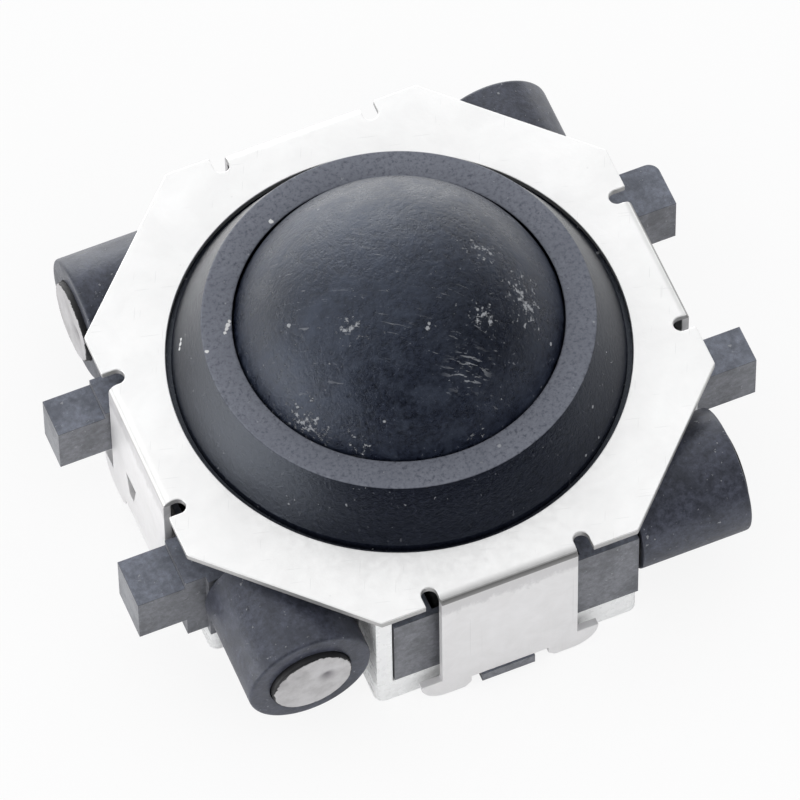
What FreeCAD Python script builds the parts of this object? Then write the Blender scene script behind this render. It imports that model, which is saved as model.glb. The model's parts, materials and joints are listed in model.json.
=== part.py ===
import FreeCAD, Part
import os
import re
import Sketcher

# A trackball navigation switch: a ball that turns four magnet rollers, held by
# a black ring and frame on a translucent base, under a folded sheet-metal cover.
# Millimetres. Z is up and Z = 0 is the underside of the base; the ball's axis is
# the Z axis. The front of the module faces -Y.

vector = FreeCAD.Vector
doc = FreeCAD.newDocument("trackball_switch")

# Driving sizes, in millimetres. The ball is the first of them: rollers, ring, frame,
# cover and base are placed from it, through the clearances and widths named here.
driving_sizes = [
    ("ball_diameter", 6.35),
    ("ball_floor_gap", 0.05),
    ("floor_under_ball", 0.25),
    ("sleeve_share", 0.2861),
    ("sleeve_ball_gap", 0.03),
    ("roller_drop_share", 0.496),
    ("sleeve_end_clearance", 0.10),
    ("shaft_diameter", 0.60),
    ("journal_clearance", 0.03),
    ("press_clearance", 0.01),
    ("shaft_end_gap", 0.08),
    ("magnet_flange_gap", 0.06),
    ("magnet_block_gap", 0.06),
    ("magnet_length", 2.16),
    ("magnet_edge_chamfer", 0.06),
    ("plug_share", 0.65),
    ("plug_proud", 0.12),
    ("plug_cap_thickness", 0.35),
    ("cover_drop", 0.025),
    ("sheet_gauge", 0.15),
    ("inner_bend_radius", 0.04),
    ("long_side_share", 0.482),
    ("flap_room", 0.17),
    ("flap_block_gap", 0.02),
    ("notch_width", 0.30),
    ("notch_depth", 0.38),
    ("neck_drop", 0.60),
    ("foot_height", 0.03),
    ("foot_shoulder_height", 0.55),
    ("foot_flare", 0.42),
    ("foot_inside_share", 0.567),
    ("foot_inner_chamfer", 0.13),
    ("flap_edge_height", 0.33),
    ("window_height", 0.94),
    ("window_rise", 0.60),
    ("window_top_width", 0.50),
    ("window_bottom_width", 0.20),
    ("window_offset", 0.40),
    ("ring_clearance", 0.04),
    ("ring_rise", 1.13),
    ("ring_rim_width", 0.575),
    ("ring_flank_spread", 0.565),
    ("ring_edge_chamfer", 0.05),
    ("ring_skirt_wall", 0.365),
    ("skirt_sleeve_gap", 0.08),
    ("ring_flange_overlap", 0.28),
    ("ring_flange_thickness", 0.14),
    ("ring_hole_clearance", 0.115),
    ("flank_foot_height", 0.03),
    ("stack_clearance", 0.01),
    ("deck_thickness", 0.31),
    ("sleeve_deck_clearance", 0.06),
    ("sleeve_wall_clearance", 0.05),
    ("block_cover_gap", 0.78),
    ("narrow_block_width", 0.79),
    ("wide_block_width", 1.13),
    ("wide_block_excess", 0.53),
    ("block_well_overlap", 0.19),
    ("well_clearance", 0.125),
    ("well_wall", 0.30),
    ("front_wall_thickness", 0.12),
    ("shoulder_pass", 0.08),
    ("shoulder_depth", 1.81),
    ("tab_length", 0.93),
    ("tab_step", 0.16),
    ("tab_depth", 1.13),
    ("tab_inset", 0.13),
    ("key_corner_rounding", 0.22),
    ("catch_left_share", 0.74),
    ("catch_right_share", 0.64),
    ("catch_depth", 0.24),
    ("catch_reach", 0.02),
    ("catch_stem", 0.13),
    ("catch_clearance", 0.03),
    ("barb_reach", 0.25),
    ("barb_clearance", 0.05),
    ("post_width", 0.31),
    ("post_depth", 0.85),
    ("post_frame_gap", 0.04),
    ("post_magnet_gap", 0.11),
    ("nub_diameter", 2.40),
    ("dome_room_diameter", 4.60),
    ("dome_room_depth", 0.18),
    ("base_corner_rounding", 0.18),
]

sheet = doc.addObject("Spreadsheet::Sheet", "Sizes")
for row, (name, size) in enumerate(driving_sizes, 1):
    sheet.set("A%d" % row, name)
    sheet.set("B%d" % row, str(size))
    sheet.setAlias("B%d" % row, name)
doc.recompute()

# Sizes that several pieces share, worked out from the driving sizes.
# Heights, from the ball outwards.
BALL_RADIUS = "(ball_diameter/2)"
BALL_HEIGHT = "(floor_under_ball + ball_floor_gap + ball_diameter/2)"
SLEEVE_RADIUS = "(ball_diameter/2*sleeve_share)"
ROLLER_DROP = "(ball_diameter/2*roller_drop_share)"
ROLLER_HEIGHT = "(%s - %s)" % (BALL_HEIGHT, ROLLER_DROP)
COVER_TOP = "(%s - cover_drop)" % BALL_HEIGHT
COVER_UNDERSIDE = "(%s - sheet_gauge)" % COVER_TOP
FLANGE_TOP = "(%s - stack_clearance)" % COVER_UNDERSIDE
FLANGE_UNDERSIDE = "(%s - ring_flange_thickness)" % FLANGE_TOP
SKIRT_UNDERSIDE = "(%s + %s + skirt_sleeve_gap)" % (ROLLER_HEIGHT, SLEEVE_RADIUS)
RING_TOP = "(%s + ring_rise)" % COVER_TOP
FRAME_TOP = "(%s - block_cover_gap)" % COVER_UNDERSIDE
DECK_TOP = "(%s - %s - sleeve_deck_clearance)" % (ROLLER_HEIGHT, SLEEVE_RADIUS)
FRAME_UNDERSIDE = "(%s - deck_thickness)" % DECK_TOP
CATCH_TOP = "(flap_edge_height - catch_clearance)"
WINDOW_TOP = "(window_height + window_rise)"
# The ball nearly touches each sleeve at the point nearest to the roller's axis.
ROLLER_OFFSET = ("sqrt((%s + sleeve_ball_gap + %s)^2 - %s^2)"
                 % (BALL_RADIUS, SLEEVE_RADIUS, ROLLER_DROP))
# Widths and reaches, from the rollers outwards.
MAGNET_RADIUS = "(%s - magnet_flange_gap - %s)" % (FLANGE_UNDERSIDE, ROLLER_HEIGHT)
PLUG_RADIUS = "(%s*plug_share)" % MAGNET_RADIUS
POST_OUTER = "(%s - %s - post_magnet_gap)" % (ROLLER_OFFSET, MAGNET_RADIUS)
NARROW_OUTER = "(%s - post_width - post_frame_gap)" % POST_OUTER
NARROW_INNER = "(%s - narrow_block_width)" % NARROW_OUTER
WIDE_OUTER = "(%s + wide_block_excess)" % NARROW_OUTER
WIDE_INNER = "(%s - wide_block_width)" % WIDE_OUTER
WIDE_TAB_OUTER = "(%s - tab_inset)" % WIDE_OUTER
MAGNET_INNER_END = "(%s + magnet_block_gap)" % WIDE_OUTER
MAGNET_OUTER_END = "(%s + magnet_length)" % MAGNET_INNER_END
WELL_RADIUS = "(ball_diameter/2 + well_clearance)"
WELL_OUTSIDE = "(ball_diameter/2 + well_clearance + well_wall)"
BLOCK_ROOT = "(sqrt(%s^2 - %s^2) - block_well_overlap)" % (WELL_OUTSIDE, WIDE_OUTER)
FRAME_FACE = ("(%s + %s + sleeve_wall_clearance + front_wall_thickness)"
              % (ROLLER_OFFSET, SLEEVE_RADIUS))
HALF_FLATS = "(%s + flap_room + sheet_gauge)" % FRAME_FACE
SHOULDER_REACH = "(%s + shoulder_pass)" % HALF_FLATS
TAB_REACH = "(%s + tab_length)" % SHOULDER_REACH
HALF_FLAP = "(%s - flap_block_gap)" % NARROW_INNER
# The ring's radii, from its mouth to its flange.
RING_CAVITY = "(ball_diameter/2 + ring_clearance)"
RING_MOUTH = "sqrt(%s^2 - (%s - %s)^2)" % (RING_CAVITY, RING_TOP, BALL_HEIGHT)
RIM_RADIUS = "(%s + ring_rim_width)" % RING_MOUTH
FLANK_FOOT = "(%s + ring_flank_spread)" % RIM_RADIUS
HOLE_RADIUS = "(%s + ring_hole_clearance)" % FLANK_FOOT


def value(text):
    """The number that an expression in the driving sizes has now."""
    return float(sheet.evalExpression(text))


def bound(text):
    """The same expression as another object of the document reads it."""
    return re.sub(r"[a-z]+(_[a-z]+)+", lambda match: "Sizes." + match.group(0), text)


def bind(item, prop, text):
    item.setExpression(prop, bound(text))


def new_body(name):
    body = doc.addObject("PartDesign::Body", name)
    body.Label = name
    return body


def new_sketch(body, name, role, lift="0"):
    """A sketch on one of the body's origin planes, lifted along its normal."""
    sketch = body.newObject("Sketcher::SketchObject", name)
    planes = [item for item in body.Origin.OriginFeatures if item.Role == role]
    sketch.AttachmentSupport = (planes[0], [""])
    sketch.MapMode = "FlatFace"
    bind(sketch, ".AttachmentOffset.Base.z", lift)
    return sketch


def pin_point(sketch, geometry, place, across, up):
    """Hold one point of a sketch at two bound distances from the origin."""
    for kind, text in (("DistanceX", across), ("DistanceY", up)):
        index = sketch.addConstraint(
            Sketcher.Constraint(kind, -1, 1, geometry, place, value(text)))
        bind(sketch, "Constraints[%d]" % index, text)


def closed_outline(sketch, steps):
    """A closed outline through points. A step is (across, up), or
    (across, up, centre across, centre up, turn) where an arc leaves the point:
    turn is 1 anticlockwise and -1 clockwise."""
    count = len(steps)
    first = sketch.GeometryCount
    ends = []
    for index, step in enumerate(steps):
        after = steps[(index + 1) % count]
        start = vector(value(step[0]), value(step[1]), 0)
        end = vector(value(after[0]), value(after[1]), 0)
        if len(step) == 2:
            sketch.addGeometry(Part.LineSegment(start, end), False)
            ends.append((1, 2))
            continue
        centre = vector(value(step[2]), value(step[3]), 0)
        circle = Part.Circle(centre, vector(0, 0, 1), (start - centre).Length)
        opening, closing = (start, end) if step[4] > 0 else (end, start)
        arc = Part.ArcOfCircle(circle, circle.parameter(opening), circle.parameter(closing))
        sketch.addGeometry(arc, False)
        ends.append((1, 2) if step[4] > 0 else (2, 1))
    for index in range(count):
        following = (index + 1) % count
        sketch.addConstraint(Sketcher.Constraint(
            "Coincident", first + index, ends[index][1], first + following, ends[following][0]))
    for index, step in enumerate(steps):
        pin_point(sketch, first + index, ends[index][0], step[0], step[1])
        if len(step) == 2:
            continue
        # One coordinate of the centre settles the arc: the one across its chord.
        after = steps[(index + 1) % count]
        chord_across = abs(value(after[0]) - value(step[0]))
        chord_up = abs(value(after[1]) - value(step[1]))
        kind, text = ("DistanceY", step[3]) if chord_across >= chord_up else ("DistanceX", step[2])
        number = sketch.addConstraint(
            Sketcher.Constraint(kind, -1, 1, first + index, 3, value(text)))
        bind(sketch, "Constraints[%d]" % number, text)


def circle_outline(sketch, radius):
    """A circle about the sketch's origin."""
    number = sketch.addGeometry(Part.Circle(vector(0, 0, 0), vector(0, 0, 1), value(radius)), False)
    sketch.addConstraint(Sketcher.Constraint("Coincident", number, 3, -1, 1))
    index = sketch.addConstraint(Sketcher.Constraint("Radius", number, value(radius)))
    bind(sketch, "Constraints[%d]" % index, radius)


def rectangle(sketch, left, low, right, high):
    closed_outline(sketch, [(left, low), (right, low), (right, high), (left, high)])


def pad(body, name, sketch, length, midplane=False, down=False):
    feature = body.newObject("PartDesign::Pad", name)
    feature.Profile = sketch
    bind(feature, "Length", length)
    feature.Midplane = midplane
    feature.Reversed = down
    return feature


def pocket(body, name, sketch, length, midplane=False, reverse=False):
    feature = body.newObject("PartDesign::Pocket", name)
    feature.Profile = sketch
    bind(feature, "Length", length)
    feature.Midplane = midplane
    feature.Reversed = reverse
    return feature


def turn_about(body, name, kind, sketch, axis_name):
    """A revolution or groove of a sketch about one of the sketch's own axes."""
    feature = body.newObject("PartDesign::" + kind, name)
    feature.Profile = sketch
    feature.ReferenceAxis = (sketch, [axis_name])
    feature.Angle = 360
    return feature


def around_axis(body, name, originals, copies):
    """Repeat features evenly about the ball's axis."""
    axes = [item for item in body.Origin.OriginFeatures if item.Role == "Z_Axis"]
    pattern = body.newObject("PartDesign::PolarPattern", name)
    pattern.Originals = originals
    pattern.Axis = (axes[0], [""])
    pattern.Angle = 360
    pattern.Occurrences = copies
    body.Tip = pattern
    return pattern


def minus(text):
    return "-(%s)" % text


# The cover: an octagonal plate with a round hole and a folded flap on each long
# side, between two relief notches.
cover = new_body("shield_cover")
half_run = "(%s*long_side_share)" % HALF_FLATS
blank = new_sketch(cover, "cover_blank", "XY_Plane", COVER_UNDERSIDE)
closed_outline(blank, [
    (minus(half_run), minus(HALF_FLATS)),
    (half_run, minus(HALF_FLATS)),
    (HALF_FLATS, minus(half_run)),
    (HALF_FLATS, half_run),
    (half_run, HALF_FLATS),
    (minus(half_run), HALF_FLATS),
    (minus(HALF_FLATS), half_run),
    (minus(HALF_FLATS), minus(half_run)),
])
circle_outline(blank, HOLE_RADIUS)
pad(cover, "cover_plate", blank, "sheet_gauge")

# Each side of the blank is opened to the round ends of the two notches, and the
# folded strip starts from that line.
notch_line = "(%s - notch_depth + notch_width/2)" % HALF_FLATS
past_edge = "(%s + notch_depth)" % HALF_FLATS
notch_centre = "(%s + notch_width/2)" % HALF_FLAP
notch_out = "(%s + notch_width)" % HALF_FLAP
relief = new_sketch(cover, "flap_relief", "XY_Plane", COVER_TOP)
closed_outline(relief, [
    (minus(notch_out), minus(past_edge)),
    (minus(notch_out), minus(notch_line), minus(notch_centre), minus(notch_line), -1),
    (minus(HALF_FLAP), minus(notch_line)),
    (HALF_FLAP, minus(notch_line), notch_centre, minus(notch_line), -1),
    (notch_out, minus(notch_line)),
    (notch_out, minus(past_edge)),
])
relief_cut = pocket(cover, "relief_cut", relief, "sheet_gauge")

outer_bend = "(inner_bend_radius + sheet_gauge)"
bend_line = "(%s - %s)" % (HALF_FLATS, outer_bend)
bend_height = "(%s - %s)" % (COVER_TOP, outer_bend)
flap_inside = "(%s - sheet_gauge)" % HALF_FLATS
neck_low = "(%s - neck_drop)" % COVER_TOP
neck = new_sketch(cover, "flap_bend", "YZ_Plane")
closed_outline(neck, [
    (minus(notch_line), COVER_TOP),
    (minus(bend_line), COVER_TOP, minus(bend_line), bend_height, 1),
    (minus(HALF_FLATS), bend_height),
    (minus(HALF_FLATS), neck_low),
    (minus(flap_inside), neck_low),
    (minus(flap_inside), bend_height, minus(bend_line), bend_height, -1),
    (minus(bend_line), COVER_UNDERSIDE),
    (minus(notch_line), COVER_UNDERSIDE),
])
bend_strip = pad(cover, "bend_strip", neck, "2*%s" % HALF_FLAP, midplane=True)

# The flat of the flap ends in two feet that flare out with one large rounding,
# and a straight edge between them.
foot_out = "(%s + foot_flare)" % HALF_FLAP
foot_in = "(%s*foot_inside_share)" % HALF_FLAP
foot_rounding = "(foot_shoulder_height - foot_height)"
outer_centre = "(%s - %s)" % (foot_out, foot_rounding)
inner_high = "(foot_height + foot_inner_chamfer)"
inner_low = "(%s + foot_inner_chamfer)" % foot_in
face = new_sketch(cover, "flap_face", "XZ_Plane", flap_inside)
closed_outline(face, [
    (minus(HALF_FLAP), neck_low),
    (minus(HALF_FLAP), "foot_shoulder_height"),
    (minus(foot_out), "foot_shoulder_height", minus(outer_centre), "foot_shoulder_height", 1),
    (minus(outer_centre), "foot_height"),
    (minus(inner_low), "foot_height"),
    (minus(foot_in), inner_high),
    (minus(foot_in), "flap_edge_height"),
    (foot_in, "flap_edge_height"),
    (foot_in, inner_high),
    (inner_low, "foot_height"),
    (outer_centre, "foot_height", outer_centre, "foot_shoulder_height", 1),
    (foot_out, "foot_shoulder_height"),
    (HALF_FLAP, "foot_shoulder_height"),
    (HALF_FLAP, neck_low),
])
flap_flat = pad(cover, "flap_flat", face, "sheet_gauge")
around_axis(cover, "four_flaps", [relief_cut, bend_strip, flap_flat], 4)

# The left and right flaps have a window that the frame's barb snaps into.
window = new_sketch(cover, "barb_window", "YZ_Plane", "-(%s - 1.5*sheet_gauge)" % HALF_FLATS)
closed_outline(window, [
    ("(window_offset - window_bottom_width/2)", "window_height"),
    ("(window_offset + window_bottom_width/2)", "window_height"),
    ("(window_offset + window_top_width/2)", WINDOW_TOP),
    ("(window_offset - window_top_width/2)", WINDOW_TOP),
])
window_cut = pocket(cover, "window_cut", window, "2*sheet_gauge")
around_axis(cover, "two_windows", [window_cut], 2)

# The retaining ring: a flange under the cover, a conical flank through its hole
# and a flat rim round the ball. Its inside follows the ball down to its middle.
ring = new_body("retaining_ring")
skirt_outside = "(%s + ring_skirt_wall)" % RING_CAVITY
flange_outside = "(%s + ring_flange_overlap)" % HOLE_RADIUS
profile = new_sketch(ring, "ring_profile", "XZ_Plane")
closed_outline(profile, [
    (RING_CAVITY, SKIRT_UNDERSIDE),
    (skirt_outside, SKIRT_UNDERSIDE),
    (skirt_outside, FLANGE_UNDERSIDE),
    (flange_outside, FLANGE_UNDERSIDE),
    (flange_outside, FLANGE_TOP),
    (FLANK_FOOT, FLANGE_TOP),
    (FLANK_FOOT, "(%s + flank_foot_height)" % COVER_TOP),
    (RIM_RADIUS, "(%s - ring_edge_chamfer)" % RING_TOP),
    ("(%s - ring_edge_chamfer)" % RIM_RADIUS, RING_TOP),
    (RING_MOUTH, RING_TOP, "0", BALL_HEIGHT, -1),
    (RING_CAVITY, BALL_HEIGHT),
])
turn_about(ring, "ring_turned", "Revolution", profile, "V_Axis")

# The ball.
ball = doc.addObject("Part::Sphere", "trackball")
ball.Label = "trackball"
bind(ball, "Radius", BALL_RADIUS)
bind(ball, ".Placement.Base.z", BALL_HEIGHT)

# The frame: a deck with a round well for the ball, two bearing blocks on each
# side for a roller's journals, and tabs and catches on its outside.
frame = new_body("base_frame")


def pinwheel(sketch, reach, short, far):
    """A cross whose four arms reach out, short to one side and far to the other."""
    closed_outline(sketch, [
        (minus(short), minus(reach)),
        (far, minus(reach)),
        (far, minus(short)),
        (reach, minus(short)),
        (reach, far),
        (short, far),
        (short, reach),
        (minus(far), reach),
        (minus(far), short),
        (minus(reach), short),
        (minus(reach), minus(far)),
        (minus(short), minus(far)),
    ])


deck = new_sketch(frame, "deck_outline", "XY_Plane", FRAME_UNDERSIDE)
pinwheel(deck, FRAME_FACE, NARROW_OUTER, WIDE_OUTER)
pad(frame, "deck", deck, "deck_thickness")

well_height = "(%s - %s)" % (SKIRT_UNDERSIDE, FRAME_UNDERSIDE)
well = new_sketch(frame, "well_outline", "XY_Plane", FRAME_UNDERSIDE)
circle_outline(well, WELL_OUTSIDE)
pad(frame, "well_wall_pad", well, well_height)

block_height = "(%s - %s)" % (FRAME_TOP, FRAME_UNDERSIDE)
narrow = new_sketch(frame, "narrow_block_outline", "XY_Plane", FRAME_UNDERSIDE)
rectangle(narrow, minus(NARROW_OUTER), minus(FRAME_FACE), minus(NARROW_INNER), minus(BLOCK_ROOT))
narrow_block = pad(frame, "narrow_block", narrow, block_height)
wide = new_sketch(frame, "wide_block_outline", "XY_Plane", FRAME_UNDERSIDE)
rectangle(wide, WIDE_INNER, minus(FRAME_FACE), WIDE_OUTER, minus(BLOCK_ROOT))
wide_block = pad(frame, "wide_block", wide, block_height)
around_axis(frame, "bearing_blocks", [narrow_block, wide_block], 4)

bore = new_sketch(frame, "well_bore_outline", "XY_Plane", SKIRT_UNDERSIDE)
circle_outline(bore, WELL_RADIUS)
pocket(frame, "well_bore", bore, well_height)

# A roller's sleeve stands in a room between its two blocks, open to the well.
room = new_sketch(frame, "sleeve_room_outline", "XY_Plane", SKIRT_UNDERSIDE)
rectangle(room, minus(NARROW_INNER), minus(FRAME_FACE), WIDE_INNER, minus(BLOCK_ROOT))
room_cut = pocket(frame, "sleeve_room", room, "(%s - %s)" % (SKIRT_UNDERSIDE, DECK_TOP))
# The shaft's ends lie in slots that are open at the top, with three flats below.
slot_half = "(shaft_diameter/2 + journal_clearance)"
slot_flat = "(%s*(sqrt(2) - 1))" % slot_half
slot_near = "(-%s + %s)" % (ROLLER_OFFSET, slot_half)
slot_far = "(-%s - %s)" % (ROLLER_OFFSET, slot_half)
slot = new_sketch(frame, "journal_slot_outline", "YZ_Plane")
closed_outline(slot, [
    (slot_far, "(%s - %s)" % (ROLLER_HEIGHT, slot_flat)),
    ("(-%s - %s)" % (ROLLER_OFFSET, slot_flat), "(%s - %s)" % (ROLLER_HEIGHT, slot_half)),
    ("(-%s + %s)" % (ROLLER_OFFSET, slot_flat), "(%s - %s)" % (ROLLER_HEIGHT, slot_half)),
    (slot_near, "(%s - %s)" % (ROLLER_HEIGHT, slot_flat)),
    (slot_near, SKIRT_UNDERSIDE),
    (slot_far, SKIRT_UNDERSIDE),
])
slot_cut = pocket(frame, "journal_slot", slot, "2*%s" % WIDE_OUTER, midplane=True)
around_axis(frame, "four_rooms", [room_cut, slot_cut], 4)

# A wall closes each room at the front, as high as its blocks.
wall_inside = "(%s - front_wall_thickness)" % FRAME_FACE
front_wall = new_sketch(frame, "front_wall_outline", "XY_Plane", FRAME_UNDERSIDE)
rectangle(front_wall, minus(NARROW_INNER), minus(FRAME_FACE), WIDE_INNER, minus(wall_inside))
front_wall_pad = pad(frame, "front_wall", front_wall, block_height)
around_axis(frame, "four_front_walls", [front_wall_pad], 4)

# On the left and right, the blocks pass the cover's flap as shoulders and end in
# tabs. On the left the narrow block is at the back.
tab_top = "(%s - tab_step)" % FRAME_TOP
narrow_shoulder = new_sketch(frame, "narrow_shoulder_outline", "XY_Plane", FRAME_TOP)
rectangle(narrow_shoulder, minus(SHOULDER_REACH), NARROW_INNER, minus(FRAME_FACE), NARROW_OUTER)
wide_shoulder = new_sketch(frame, "wide_shoulder_outline", "XY_Plane", FRAME_TOP)
rectangle(wide_shoulder, minus(SHOULDER_REACH), minus(WIDE_TAB_OUTER),
          minus(FRAME_FACE), minus(WIDE_INNER))
tabs = new_sketch(frame, "tab_outline", "XY_Plane", tab_top)
rectangle(tabs, minus(TAB_REACH), NARROW_INNER, minus(FRAME_FACE), NARROW_OUTER)
rectangle(tabs, minus(TAB_REACH), minus(WIDE_TAB_OUTER), minus(FRAME_FACE), minus(WIDE_INNER))
narrow_shoulder_pad = pad(frame, "narrow_shoulder", narrow_shoulder, "(tab_step + tab_depth)",
                          down=True)
wide_shoulder_pad = pad(frame, "wide_shoulder", wide_shoulder, "shoulder_depth", down=True)
tab_pad = pad(frame, "tabs", tabs, "tab_depth", down=True)
both_sides = around_axis(frame, "both_sides", [narrow_shoulder_pad, wide_shoulder_pad, tab_pad], 2)
doc.recompute()


def edges_where(feature, test):
    """The names of a feature's straight edges whose two ends pass a test."""
    names = []
    for number, edge in enumerate(feature.Shape.Edges, 1):
        if len(edge.Vertexes) == 2 and test(edge.Vertexes[0].Point, edge.Vertexes[1].Point):
            names.append("Edge%d" % number)
    return names


def is_upright(low, high):
    return abs(low.x - high.x) < 1e-6 and abs(low.y - high.y) < 1e-6


def is_key_corner(low, high):
    """The outer back edge of the tab at the back right."""
    at_end = abs(low.x - value(TAB_REACH)) < 1e-6
    return is_upright(low, high) and at_end and abs(low.y - value(WIDE_TAB_OUTER)) < 1e-6


def is_arm_corner(low, high):
    """An upright edge at the end of one of the base's four arms."""
    far_out = max(abs(low.x), abs(low.y)) > value(FRAME_FACE) - 1e-6
    return is_upright(low, high) and far_out


def round_corners(body, name, feature, test, radius):
    fillet = body.newObject("PartDesign::Fillet", name)
    fillet.Base = (feature, edges_where(feature, test))
    bind(fillet, "Radius", radius)


# One tab has a rounded corner, which tells the module's way round.
round_corners(frame, "key_corner", both_sides, is_key_corner, "key_corner_rounding")

# At the front and back, a catch hooks under the straight edge of the flap.
catch_left = "(%s*catch_left_share)" % foot_in
catch_right = "(%s*catch_right_share)" % foot_in
catch = new_sketch(frame, "catch_profile", "YZ_Plane", "(%s - %s)/2" % (catch_right, catch_left))
catch_stem_face = "(%s + catch_stem)" % FRAME_FACE
catch_nose = "(%s + catch_reach)" % HALF_FLATS
catch_low = "(%s - catch_depth)" % CATCH_TOP
closed_outline(catch, [
    (minus(wall_inside), catch_low),
    (minus(wall_inside), DECK_TOP),
    (minus(catch_stem_face), DECK_TOP),
    (minus(catch_stem_face), CATCH_TOP),
    (minus(catch_nose), CATCH_TOP),
    (minus(catch_nose), catch_low),
])
catch_pad = pad(frame, "catch", catch, "(%s + %s)" % (catch_left, catch_right), midplane=True)
around_axis(frame, "two_catches", [catch_pad], 2)

# At the left and right, a wedge-shaped barb stands in the flap's window.
barb = new_sketch(frame, "barb_profile", "XZ_Plane", "-window_offset")
closed_outline(barb, [
    (minus(FRAME_FACE), "(window_height + barb_clearance)"),
    (minus(FRAME_FACE), "(%s - barb_clearance)" % WINDOW_TOP),
    ("(-%s - barb_reach)" % FRAME_FACE, "(%s - barb_clearance)" % WINDOW_TOP),
])
barb_pad = pad(frame, "barb", barb, "(window_bottom_width - 2*barb_clearance)", midplane=True)
around_axis(frame, "two_barbs", [barb_pad], 2)

# The base: a translucent light guide under the frame, dished for the ball, with
# a nub under its middle and a post beside each narrow block.
guide = new_body("light_guide")
floor = new_sketch(guide, "floor_outline", "XY_Plane")
pinwheel(floor, FRAME_FACE, POST_OUTER, WIDE_OUTER)
floor_slab = pad(guide, "floor", floor, FRAME_UNDERSIDE)
doc.recompute()
round_corners(guide, "arm_corners", floor_slab, is_arm_corner, "base_corner_rounding")

dish = new_sketch(guide, "dish_profile", "XZ_Plane")
dish_radius = "(ball_diameter/2 + ball_floor_gap)"
closed_outline(dish, [
    ("0", "floor_under_ball", "0", BALL_HEIGHT, 1),
    (dish_radius, BALL_HEIGHT),
    ("0", BALL_HEIGHT),
])
turn_about(guide, "dish", "Groove", dish, "V_Axis")

dome_room = new_sketch(guide, "dome_room_outline", "XY_Plane")
circle_outline(dome_room, "dome_room_diameter/2")
circle_outline(dome_room, "nub_diameter/2")
pocket(guide, "dome_room", dome_room, "dome_room_depth", reverse=True)

post = new_sketch(guide, "post_outline", "XY_Plane", FRAME_UNDERSIDE)
rectangle(post, minus(POST_OUTER), minus(FRAME_FACE),
          "-(%s + post_frame_gap)" % NARROW_OUTER, "(-%s + post_depth)" % FRAME_FACE)
post_height = "(%s - stack_clearance - %s)" % (COVER_UNDERSIDE, FRAME_UNDERSIDE)
post_pad = pad(guide, "post", post, post_height)
around_axis(guide, "four_posts", [post_pad], 4)

catch_room = new_sketch(guide, "catch_room_outline", "XY_Plane", FRAME_UNDERSIDE)
rectangle(catch_room, "-(%s + catch_clearance)" % catch_left, minus(catch_stem_face),
          "(%s + catch_clearance)" % catch_right, "-(%s - catch_clearance)" % wall_inside)
catch_room_cut = pocket(guide, "catch_room", catch_room, FRAME_UNDERSIDE)
around_axis(guide, "two_catch_rooms", [catch_room_cut], 2)


# The four rollers. Each is drawn along X, with its magnet towards +X, and set on
# its side of the ball. Seen from above they follow each other anticlockwise.
def shaft_profile(sketch):
    """A ground steel pin through the sleeve, from the narrow block into the plug."""
    far_end = "(-%s + shaft_end_gap)" % NARROW_OUTER
    plug_end = "(%s + plug_proud - plug_cap_thickness)" % MAGNET_OUTER_END
    rectangle(sketch, far_end, "0", plug_end, "(shaft_diameter/2)")


def sleeve_profile(sketch):
    """The soft sleeve that the ball rolls on."""
    low = "(-%s + sleeve_end_clearance)" % NARROW_INNER
    high = "(%s - sleeve_end_clearance)" % WIDE_INNER
    rectangle(sketch, low, "(shaft_diameter/2 + press_clearance)", high, SLEEVE_RADIUS)


def magnet_profile(sketch):
    """The black ring magnet round its plug, with its outer edge broken."""
    inner = "(%s + press_clearance)" % PLUG_RADIUS
    closed_outline(sketch, [
        (MAGNET_INNER_END, inner),
        (MAGNET_OUTER_END, inner),
        (MAGNET_OUTER_END, "(%s - magnet_edge_chamfer)" % MAGNET_RADIUS),
        ("(%s - magnet_edge_chamfer)" % MAGNET_OUTER_END, MAGNET_RADIUS),
        (MAGNET_INNER_END, MAGNET_RADIUS),
    ])


def plug_profile(sketch):
    """The pale plug between magnet and shaft, closed at its outer end."""
    inner = "(shaft_diameter/2 + press_clearance)"
    high = "(%s + plug_proud)" % MAGNET_OUTER_END
    bottom = "(%s - plug_cap_thickness + press_clearance)" % high
    closed_outline(sketch, [
        (MAGNET_INNER_END, inner),
        (bottom, inner),
        (bottom, "0"),
        (high, "0"),
        (high, PLUG_RADIUS),
        (MAGNET_INNER_END, PLUG_RADIUS),
    ])


roller_pieces = [
    ("roller_shaft", shaft_profile),
    ("roller_sleeve", sleeve_profile),
    ("magnet_ring", magnet_profile),
    ("magnet_plug", plug_profile),
]
# Side, the axis position in X and in Y, and the turn about Z.
roller_sides = [
    ("front", "0", minus(ROLLER_OFFSET), 0),
    ("right", ROLLER_OFFSET, "0", 90),
    ("back", "0", ROLLER_OFFSET, 180),
    ("left", minus(ROLLER_OFFSET), "0", 270),
]
roller_bodies = []
for side, across, along, angle in roller_sides:
    for piece, draw in roller_pieces:
        body = new_body("%s_%s" % (piece, side))
        section = new_sketch(body, "%s_%s_section" % (piece, side), "XZ_Plane")
        draw(section)
        turn_about(body, "%s_%s_turned" % (piece, side), "Revolution", section, "H_Axis")
        body.Placement = FreeCAD.Placement(vector(0, 0, 0), FreeCAD.Rotation(vector(0, 0, 1), angle))
        bind(body, ".Placement.Base.x", across)
        bind(body, ".Placement.Base.y", along)
        bind(body, ".Placement.Base.z", ROLLER_HEIGHT)
        roller_bodies.append(body)

doc.recompute()
for item in doc.Objects:
    faults = [state for state in item.State if state in ("Invalid", "Error")]
    if faults:
        raise RuntimeError("%s is %s" % (item.Name, faults))

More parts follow.
